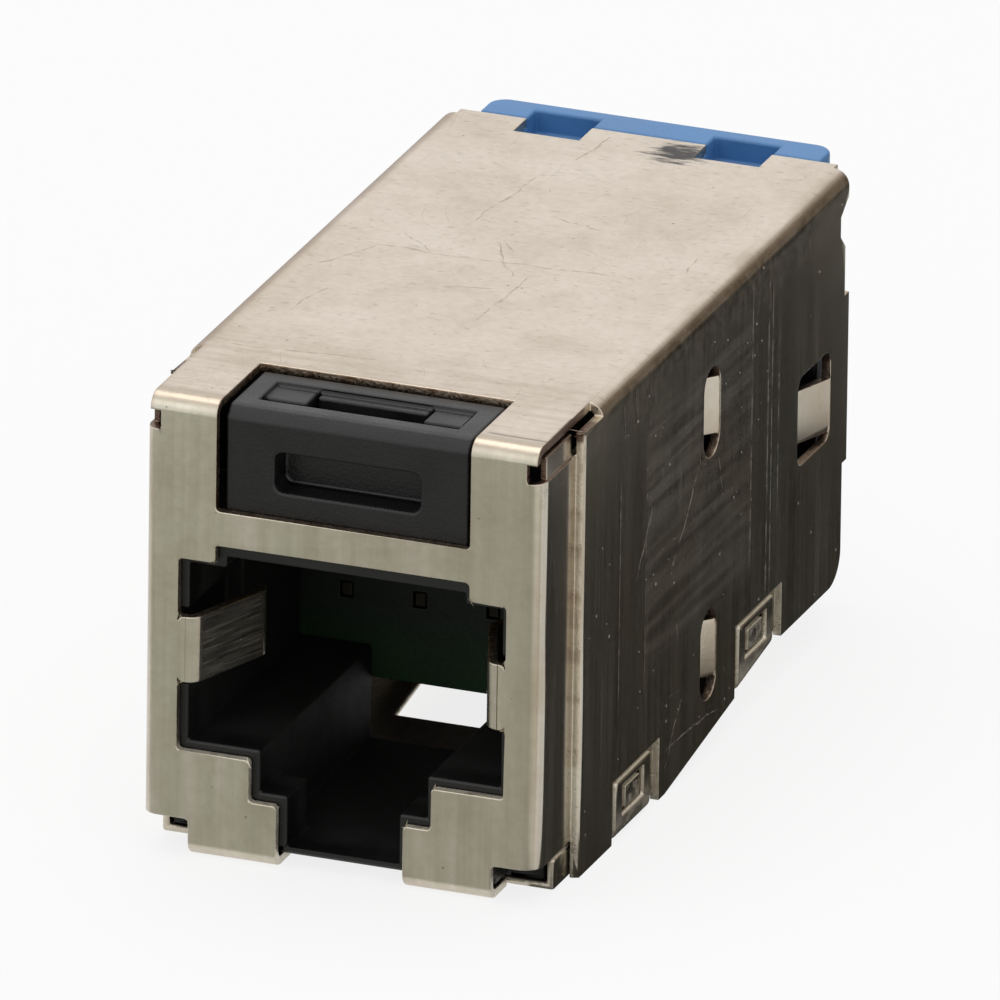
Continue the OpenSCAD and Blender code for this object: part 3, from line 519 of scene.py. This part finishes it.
def makeCutEdge(s):
    made, tree, shader, spot = startMaterial("cutEdge")
    at = splitPlace(tree, spot)
    at["absX"] = mathNode(tree, "ABSOLUTE", at["x"])
    cloud, streak = (placeGroup(tree, mottle, spot, **s[k]) for k in ("cloud", "streak"))
    # the edges of the cut-out round the block are bare and tarnished
    marks = {"cloud": cloud, "inner": zone(tree, at, s["inner"])}
    colour = mixColour(tree, weigh(tree, 0.0, s["tarnish"], marks), s["bright"], s["dull"])
    # discoloured round the open corners of the front folds, with painted shade inside the slits there;
    # painted shade on the edges round the slots
    burnt = strongest(tree, zone(tree, at, s["corner"]), zone(tree, at, s["slit"]))
    burnt = product(tree, burnt, zone(tree, at, s["fold"]))
    # painted shade, streaked, on the cut edges round the slots
    rims = strongest(tree, *(zone(tree, at, rim) for rim in s["rims"]))
    stained = product(tree, rims, mathNode(tree, "MULTIPLY_ADD", streak, *s["rimWear"]))
    colour = mixColour(tree, strongest(tree, burnt, stained), colour, s["burnt"])
    # rubbed bright along the latch pockets, where the cover snaps in, with painted highlight on those edges
    wear = mathNode(tree, "MULTIPLY_ADD", cloud, *s["pocketWear"])
    low = product(tree, zone(tree, at, s["pocket"]), wear, mathNode(tree, "SUBTRACT", 1.0, rims))
    feed(tree, shader["Base Color"], mixColour(tree, low, colour, s["burnished"]))
    feed(tree, shader["Metallic"], mathNode(tree, "MULTIPLY_ADD", low, *s["metal"]))
    feed(tree, shader["Roughness"], mathNode(tree, "MULTIPLY_ADD", streak, *s["rough"]))
    feed(tree, shader["Normal"], bump(tree, streak, *s["bump"]))
    return made


# mouldings: the skin is alike, each has its own colours
mouldedSet = {
    "cloud": {"Scale": 0.5, "Detail": 4}, "skin": {"Detail": 2, "Low": 0.25, "High": 0.75},
    "dots": {"Scale": 1.3, "Size": 0.045, "Share": 0.8}, "wornShare": 0.6, "dustShare": 0.3,
    "rough": {"cloud": 0.1, "sooty": 0.32, "skin": 0.06}, "bump": (0.15, 0.00003),
}
blackSet = {
    "base": (0.0035, 0.0035, 0.0038), "worn": (0.008, 0.008, 0.0085), "dust": (0.2, 0.195, 0.185),
    # painted shade inside the plug cavity and in the slot of the block
    "sooty": (0.0014, 0.0014, 0.0013), "deep": {"y": (-15.3, -13.9), "z": (12.3, 12.6, 1.0, 0.0)},
    "slot": {"y": (-15.6, -15.4, 0.0, 0.8), "z": (12.6, 15.2, 0.2)},
}
blueSet = {
    "base": (0.06, 0.19, 0.42), "worn": (0.09, 0.245, 0.5), "dust": (0.5, 0.6, 0.75),
    # painted shade on the end that sits inside the shell
    "grubby": blackSet["worn"], "inner": {"y": (14.2, 14.7, 0.985, 0.0), "z": (15.7, 15.9, 1.0, 0.0)},
}


def makeMoulded(name, s, rough, grain):
    made, tree, shader, spot = startMaterial(name)
    shared = mouldedSet
    at = splitPlace(tree, spot)
    cloud = placeGroup(tree, mottle, spot, **shared["cloud"])
    skin = placeGroup(tree, mottle, spot, Scale=grain, **shared["skin"])
    dots = placeGroup(tree, specks, spot, **shared["dots"])
    marks = {"cloud": cloud, "skin": skin}
    colour = mixColour(tree, product(tree, cloud, shared["wornShare"]), s["base"], s["worn"])
    colour = mixColour(tree, product(tree, dots, shared["dustShare"]), colour, s["dust"])
    if "deep" in s:  # matt from use inside the plug cavity; painted shade there and in the slot
        marks["sooty"] = zone(tree, at, s["deep"])
        dark = strongest(tree, marks["sooty"], zone(tree, at, s["slot"]))
        colour = mixColour(tree, dark, colour, s["sooty"])
    if "inner" in s:  # painted shade on the end that sits inside
        colour = mixColour(tree, zone(tree, at, s["inner"]), colour, s["grubby"])
    shares = {label: share for label, share in shared["rough"].items() if label in marks}
    feed(tree, shader["Base Color"], colour)
    feed(tree, shader["Roughness"], weigh(tree, rough, shares, marks))
    feed(tree, shader["Normal"], bump(tree, skin, *shared["bump"]))
    return made


boardSet = {
    "mask": (0.003, 0.03, 0.006), "track": (0.004, 0.04, 0.009), "fibre": (0.03, 0.034, 0.016),
    # painted shade on the upper part of the board
    "sooty": (0.0012, 0.0018, 0.0012), "upper": {"z": (3.2, 6.2, 0.0, 0.85)},
    "copper": {"Scale": 0.55, "Detail": 1, "Low": 0.49, "High": 0.51}, "cloud": {"Scale": 0.8, "Detail": 4},
    "weave": {"Scale": 6, "Detail": 2}, "fibreShare": 0.12, "rough": (0.1, 0.5), "copperHeight": 0.8,
    "bump": (0.12, 0.00002),
}


def makeBoard(s):
    made, tree, shader, spot = startMaterial("boardMask")
    copper, cloud, weave = (placeGroup(tree, mottle, spot, **s[k]) for k in ("copper", "cloud", "weave"))
    colour = mixColour(tree, copper, s["mask"], s["track"])
    colour = mixColour(tree, product(tree, cloud, s["fibreShare"]), colour, s["fibre"])
    # painted shade darkens the upper part of the board
    colour = mixColour(tree, zone(tree, splitPlace(tree, spot), s["upper"]), colour, s["sooty"])
    feed(tree, shader["Base Color"], colour)
    feed(tree, shader["Roughness"], mathNode(tree, "MULTIPLY_ADD", weave, *s["rough"]))
    height = mathNode(tree, "MULTIPLY_ADD", copper, s["copperHeight"], weave)
    feed(tree, shader["Normal"], bump(tree, height, *s["bump"]))
    return made


# wires and blades
metalSet = {
    "cloud": {"Scale": 1.2, "Detail": 4}, "drawn": {"Scale": 2.0, "Detail": 3, "Along": 4.0, "Across": 0.3},
    "rough": {"drawn": 0.14, "dark": 0.4}, "bump": (0.15, 0.00002),
}
goldSet = {"bright": (0.9, 0.62, 0.24), "dull": (0.68, 0.42, 0.14), "rough": 0.18}
tinSet = {
    # the dark tone on the tails is painted shade
    "bright": (0.72, 0.68, 0.58), "dull": (0.5, 0.44, 0.32), "rough": 0.26, "flux": (0.02, 0.018, 0.012),
    "tails": {"y": (-3.9, -3.6, 0.95, 0.0)},
}


def makeMetal(name, s):
    made, tree, shader, spot = startMaterial(name)
    shared = metalSet
    cloud, drawn = (placeGroup(tree, mottle, spot, **shared[k]) for k in ("cloud", "drawn"))
    marks = {"drawn": drawn}
    colour = mixColour(tree, cloud, s["bright"], s["dull"])
    if "tails" in s:  # tails soldered into the board, in painted shade
        marks["dark"] = zone(tree, splitPlace(tree, spot), s["tails"])
        colour = mixColour(tree, marks["dark"], colour, s["flux"])
    shares = {label: share for label, share in shared["rough"].items() if label in marks}
    feed(tree, shader["Base Color"], colour)
    feed(tree, shader["Roughness"], weigh(tree, s["rough"], shares, marks))
    feed(tree, shader["Normal"], bump(tree, drawn, *shared["bump"]))
    shader["Metallic"].default_value = 1.0
    return made


plated = makeNickel(nickelSet)
cutEdge = makeCutEdge(cutEdgeSet)
blackMoulding = makeMoulded("blackMoulding", blackSet, rough=0.34, grain=9.0)
innerMoulding = makeMoulded("innerMoulding", blackSet, rough=0.42, grain=7.0)
blueMoulding = makeMoulded("blueMoulding", blueSet, rough=0.34, grain=8.0)
boardMask = makeBoard(boardSet)
goldWire = makeMetal("goldWire", goldSet)
tinnedBlade = makeMetal("tinnedBlade", tinSet)
print("materials made")


# pieces that carry on from the solids, with the edges of the real thing; lengths in millimetres
meshSet = {"weld": 0.002, "near": 0.01, "slack": 0.02, "flat": 0.9, "square": 0.3, "rollSteps": 4,
           "sharpAngle": 28, "smoothAngle": 50}


def selectOnly(piece):
    bpy.ops.object.select_all(action="DESELECT")
    piece.select_set(True)
    bpy.context.view_layer.objects.active = piece


def rescale(piece, factor):
    piece.scale = (factor, factor, factor)
    bpy.ops.object.transform_apply(location=False, rotation=False, scale=True)


def copyNode(nodeName, pieceName, *finishes):
    selectOnly(nodes[nodeName])
    bpy.ops.object.duplicate()
    piece = bpy.context.active_object
    piece.name = pieceName
    piece.data.name = pieceName
    del piece["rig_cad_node"]
    piece.data.materials.clear()
    for finish in finishes:
        piece.data.materials.append(finish)
    bpy.ops.mesh.customdata_custom_splitnormals_clear()
    rescale(piece, 1 / mm)
    bpy.ops.object.mode_set(mode="EDIT")
    bpy.ops.mesh.select_all(action="SELECT")
    bpy.ops.mesh.remove_doubles(threshold=meshSet["weld"])
    bpy.ops.object.mode_set(mode="OBJECT")
    return piece


def facesByEdge(mesh):
    sides = {}
    for face in mesh.polygons:
        for key in face.edge_keys:
            sides.setdefault(key, []).append(face)
    return sides


# narrow faces with sharp borders: where the sheet was cut
def findCutFaces(piece, widest):
    mesh = piece.data
    sides = facesByEdge(mesh)
    group = {}
    for seed in mesh.polygons:
        if seed.index in group:
            continue
        group[seed.index] = seed.index
        waiting = [seed]
        while waiting:
            face = waiting.pop()
            for key in face.edge_keys:
                for other in sides[key]:
                    if other.index not in group and other.normal.dot(face.normal) > meshSet["flat"]:
                        group[other.index] = seed.index
                        waiting.append(other)
    area, border = {}, {}
    for face in mesh.polygons:
        own = group[face.index]
        area[own] = area.get(own, 0) + face.area
        for a, b in face.edge_keys:
            if any(group[other.index] != own for other in sides[(a, b)]):
                span = mesh.vertices[a].co - mesh.vertices[b].co
                border[own] = border.get(own, 0) + span.length
    narrow = {own for own in area if 2 * area[own] / border.get(own, 1) < widest}
    return [f.index for f in mesh.polygons if group[f.index] in narrow]


def pick(piece, mode, indices):
    bpy.ops.object.mode_set(mode="EDIT")
    bpy.ops.mesh.select_mode(type=mode)
    bpy.ops.mesh.select_all(action="DESELECT")
    bpy.ops.object.mode_set(mode="OBJECT")
    mesh = piece.data
    items = {"VERT": mesh.vertices, "EDGE": mesh.edges, "FACE": mesh.polygons}[mode]
    for index in indices:
        items[index].select = True
    bpy.ops.object.mode_set(mode="EDIT")


def paintFaces(piece, faces, slotIndex):
    pick(piece, "FACE", faces)
    piece.active_material_index = slotIndex
    bpy.ops.object.material_slot_assign()
    bpy.ops.object.mode_set(mode="OBJECT")


def rollEdges(piece, edges, radius):
    pick(piece, "EDGE", edges)
    bpy.ops.mesh.bevel(offset=radius, segments=meshSet["rollSteps"], affect="EDGES",
                       clamp_overlap=False, loop_slide=False)
    bpy.ops.object.mode_set(mode="OBJECT")


# corners of the sheet seen square to it, rounded by the punch
def roundCorners(piece, axis, low, high, thick, radius):
    mesh = piece.data
    sides = facesByEdge(mesh)
    found = []
    for edge in mesh.edges:
        a, b = (mesh.vertices[i].co for i in edge.vertices)
        span = b - a
        through = abs(span[axis])
        if abs(through - thick) > meshSet["slack"] or span.length - through > meshSet["weld"]:
            continue
        if any(min(a[i], b[i]) < low[i] or max(a[i], b[i]) > high[i] for i in range(3)):
            continue
        near = sides[tuple(sorted(edge.vertices))]
        if len(near) == 2 and abs(near[0].normal.dot(near[1].normal)) < meshSet["square"]:
            found.append(edge.index)
    rollEdges(piece, found, radius)
    return len(found)


# bevelled edges, then whatever they push past the solid's own box is pressed back flat
def softenEdges(piece, width, steps):
    corners = [[v.co[i] for v in piece.data.vertices] for i in range(3)]
    edge = piece.modifiers.new("edge", "BEVEL")
    edge.width = width
    edge.segments = steps
    edge.limit_method = "ANGLE"
    edge.angle_limit = math.radians(meshSet["sharpAngle"])
    edge.use_clamp_overlap = False
    edge.loop_slide = False
    bpy.ops.object.modifier_apply(modifier="edge")
    for axis in range(3):
        flat = [0.0 if i == axis else 1.0 for i in range(3)]
        for level, sign in ((min(corners[axis]), -1), (max(corners[axis]), 1)):
            over = [v.index for v in piece.data.vertices if sign * (v.co[axis] - level) > 0]
            if not over:
                continue
            pick(piece, "VERT", over)
            bpy.ops.transform.resize(value=flat, center_override=(level, level, level))
            bpy.ops.object.mode_set(mode="OBJECT")
    bpy.ops.object.shade_smooth_by_angle(angle=math.radians(meshSet["smoothAngle"]))
    even = piece.modifiers.new("even", "WEIGHTED_NORMAL")
    even.keep_sharp = True
    bpy.ops.object.modifier_apply(modifier="even")


def settle(piece, nodeName):
    selectOnly(piece)
    rescale(piece, mm)
    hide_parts(nodeName)
    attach(piece, "root")


def dressNode(nodeName, pieceName, slotName, finish, width, steps):
    piece = copyNode(nodeName, pieceName, finish)
    softenEdges(piece, width, steps)
    settle(piece, nodeName)


platedSlot, cutSlot = 0, 1
shellSet = {
    "edge": (0.05, 2), "cutWidth": 0.37, "sheet": 0.35, "corner": 0.16, "roll": 0.2,
    "plateAxis": 1, "plate": ((-7.3, -16.2, 0.9), (7.3, -15.7, 16.5)), "panelFront": (7.85, -12.8),
    "outside": (7.78, -16.03, 17.33),
}
coverSet = {"edge": (0.13, 2), "cutWidth": 0.37}


def makeShell(s):
    piece = copyNode("shield_shell", "foldedShell", plated, cutEdge)
    paintFaces(piece, findCutFaces(piece, s["cutWidth"]), cutSlot)
    rounded = roundCorners(piece, s["plateAxis"], *s["plate"], s["sheet"], s["corner"])
    print("rounded corners:", rounded)
    # front edges of the side panels
    x, y = s["panelFront"]
    near, flat = meshSet["near"], meshSet["flat"]
    front = {v.index for v in piece.data.vertices if abs(abs(v.co.x) - x) < near and abs(v.co.y - y) < near}
    rollEdges(piece, [e.index for e in piece.data.edges if front.issuperset(e.vertices)], s["roll"])
    softenEdges(piece, *s["edge"])
    # small corner facets that lie flush with the outside are plated like it
    side, plate, top = s["outside"]
    flush = [f.index for f in piece.data.polygons if f.material_index == cutSlot and (
        (f.normal.y < -flat and f.center.y < plate) or (f.normal.z > flat and f.center.z > top)
        or (abs(f.normal.x) > flat and abs(f.center.x) > side))]
    paintFaces(piece, flush, platedSlot)
    print("flush facets:", len(flush))
    settle(piece, "shield_shell")


def makeCover(s):
    piece = copyNode("bottom_cover", "latchedCover", plated, cutEdge)
    paintFaces(piece, findCutFaces(piece, s["cutWidth"]), cutSlot)
    softenEdges(piece, *s["edge"])
    settle(piece, "bottom_cover")


makeShell(shellSet)
makeCover(coverSet)
print("sheet pieces made")

# width of the rounded edge, and its steps
mouldSet = {
    "housing": (0.12, 3), "carrier": (0.05, 2), "block": (0.1, 2), "cap": (0.12, 3), "board": (0.04, 2),
}
dressNode("jack_housing", "plugHousing", "housing_plastic", blackMoulding, *mouldSet["housing"])
dressNode("contact_carrier", "wireComb", "carrier_plastic", innerMoulding, *mouldSet["carrier"])
dressNode("idc_block", "bladeBlock", "block_plastic", innerMoulding, *mouldSet["block"])
dressNode("wire_manager", "rearCap", "cap_plastic", blueMoulding, *mouldSet["cap"])
dressNode("pcb", "standingBoard", "board", boardMask, *mouldSet["board"])
print("mouldings and board made")

wireSet = {"count": 8, "wire": (0.06, 2), "blade": (0.05, 2)}
for number in range(1, wireSet["count"] + 1):
    dressNode(f"contact_{number}", f"springWire{number}", "gold", goldWire, *wireSet["wire"])
    dressNode(f"idc_{number}", f"forkBlade{number}", "tinned_brass", tinnedBlade, *wireSet["blade"])
print("wires and blades made")


# plain studio in metres; the cards are flags that only reflections see
stageSet = {
    "floorHalf": 0.6, "white": 0.82, "paper": (0.5, 0.82), "sky": (0.0, 0.7, 0.12, 0.9), "cardLift": 0.00002,
    "cards": {
        "sideCard": {"low": (0.0065, -0.027), "high": (0.032, 0.02), "slide": 0.07,
                     "tone": (0.034, 0.0325, 0.029)},
        "gapCard": {"low": (0.0145, 0.003), "high": (0.026, 0.027), "tone": (0.034, 0.0325, 0.029)},
        "farCard": {"low": (0.03, 0.036), "high": (0.08, 0.099), "tone": (0.1, 0.09, 0.075)},
        "frontCard": {"low": (-0.09, -0.12), "high": (0.007, -0.0165), "skew": 0.075,
                      "tone": (0.44, 0.45, 0.4)},
        "cornerCard": {"low": (0.012, -0.036), "high": (0.055, -0.0185), "lift": 0.00001,
                       "tone": (0.6, 0.58, 0.5)},
        "backCard": {"low": (-0.07, 0.02), "high": (0.004, 0.13), "tone": (0.07, 0.055, 0.04)},
        "bendCard": {"low": (0.02, 0.0), "high": (0.1, 0.075), "stand": 0.1, "tone": (0.26, 0.21, 0.165)},
    },
}


def seenRays(tree):
    path = addNode(tree, "ShaderNodeLightPath").outputs
    return strongest(tree, *(path[f"Is {kind} Ray"] for kind in ("Camera", "Glossy", "Transmission")))


def makeFloor(s):
    bpy.ops.object.select_all(action="DESELECT")
    bpy.ops.mesh.primitive_plane_add(size=2 * s["floorHalf"], location=(0, 0, 0))
    floor = bpy.context.active_object
    floor.name = "paleFloor"
    made = bpy.data.materials.new("palePaper")
    tree = emptyTree(made)
    seen = seenRays(tree)
    paper = addNode(tree, "ShaderNodeBsdfDiffuse", {"Color": ramp(tree, seen, 0.0, 1.0, *s["paper"])})
    glow = addNode(tree, "ShaderNodeEmission", {"Strength": 1.0})
    blend = addNode(tree, "ShaderNodeMixShader",
                    {0: product(tree, seen, s["white"]), 1: paper.outputs[0], 2: glow.outputs[0]})
    addNode(tree, "ShaderNodeOutputMaterial", {"Surface": blend.outputs[0]})
    floor.data.materials.append(made)


def moveCorners(card, chosen, move):
    pick(card, "VERT", [v.index for v in card.data.vertices if chosen(v.co)])
    bpy.ops.transform.translate(value=move)
    bpy.ops.object.mode_set(mode="OBJECT")


def makeCard(name, s, lift):
    low, high = s["low"], s["high"]
    bpy.ops.object.select_all(action="DESELECT")
    bpy.ops.mesh.primitive_plane_add(size=1)
    card = bpy.context.active_object
    card.name = name
    bpy.ops.object.mode_set(mode="EDIT")
    bpy.ops.mesh.select_all(action="SELECT")
    bpy.ops.transform.resize(value=(high[0] - low[0], high[1] - low[1], 1), center_override=(0, 0, 0))
    bpy.ops.object.mode_set(mode="OBJECT")
    if "slide" in s:
        moveCorners(card, lambda co: co.x > 0, (0, s["slide"], 0))
    if "skew" in s:
        moveCorners(card, lambda co: co.y < 0, (s["skew"], 0, 0))
    middle = ((low[0] + high[0]) / 2, (low[1] + high[1]) / 2)
    if "stand" in s:
        card.location = (middle[0], s["stand"], middle[1])
        card.rotation_euler = (math.radians(90), 0, 0)
    else:
        card.location = (*middle, s.get("lift", lift))
    made = bpy.data.materials.new(name)
    tree = emptyTree(made)
    tone = addNode(tree, "ShaderNodeEmission", {"Color": s["tone"]})
    addNode(tree, "ShaderNodeOutputMaterial", {"Surface": tone.outputs[0]})
    card.data.materials.append(made)
    card.visible_camera = False
    card.visible_shadow = False
    card.visible_diffuse = False
    card.visible_transmission = False


def makeWorld(s):
    world = bpy.data.worlds.new("whiteRoom")
    bpy.context.scene.world = world
    tree = emptyTree(world)
    # the light itself comes from above; what is seen stays even
    way = splitPlace(tree, addNode(tree, "ShaderNodeTexCoord").outputs["Generated"])
    seen = seenRays(tree)
    unseen = product(tree, ramp(tree, way["z"], *s["sky"]), mathNode(tree, "SUBTRACT", 1.0, seen))
    air = addNode(tree, "ShaderNodeBackground",
                  {"Color": (1, 1, 1), "Strength": mathNode(tree, "ADD", seen, unseen)})
    addNode(tree, "ShaderNodeOutputWorld", {"Surface": air.outputs[0]})


lampSet = {
    "aim": (0, 0, 0.008),
    "lamps": {"overheadLamp": {"place": (-0.05, 0.05, 0.32), "size": 0.24, "power": 0.28},
              "frontLamp": {"place": (-0.16, -0.28, 0.2), "size": 0.2, "power": 0.06}},
}


def makeLamp(name, s, aim):
    bpy.ops.object.light_add(type="AREA", location=s["place"])
    lamp = bpy.context.active_object
    lamp.name = name
    lamp.data.size = s["size"]
    lamp.data.energy = s["power"]
    lamp.rotation_euler = (Vector(aim) - Vector(s["place"])).to_track_quat("-Z", "Y").to_euler()


makeFloor(stageSet)
for cardName, cardSet in stageSet["cards"].items():
    makeCard(cardName, cardSet, stageSet["cardLift"])
makeWorld(stageSet)
for lampName, oneLamp in lampSet["lamps"].items():
    makeLamp(lampName, oneLamp, lampSet["aim"])
print("stage set")
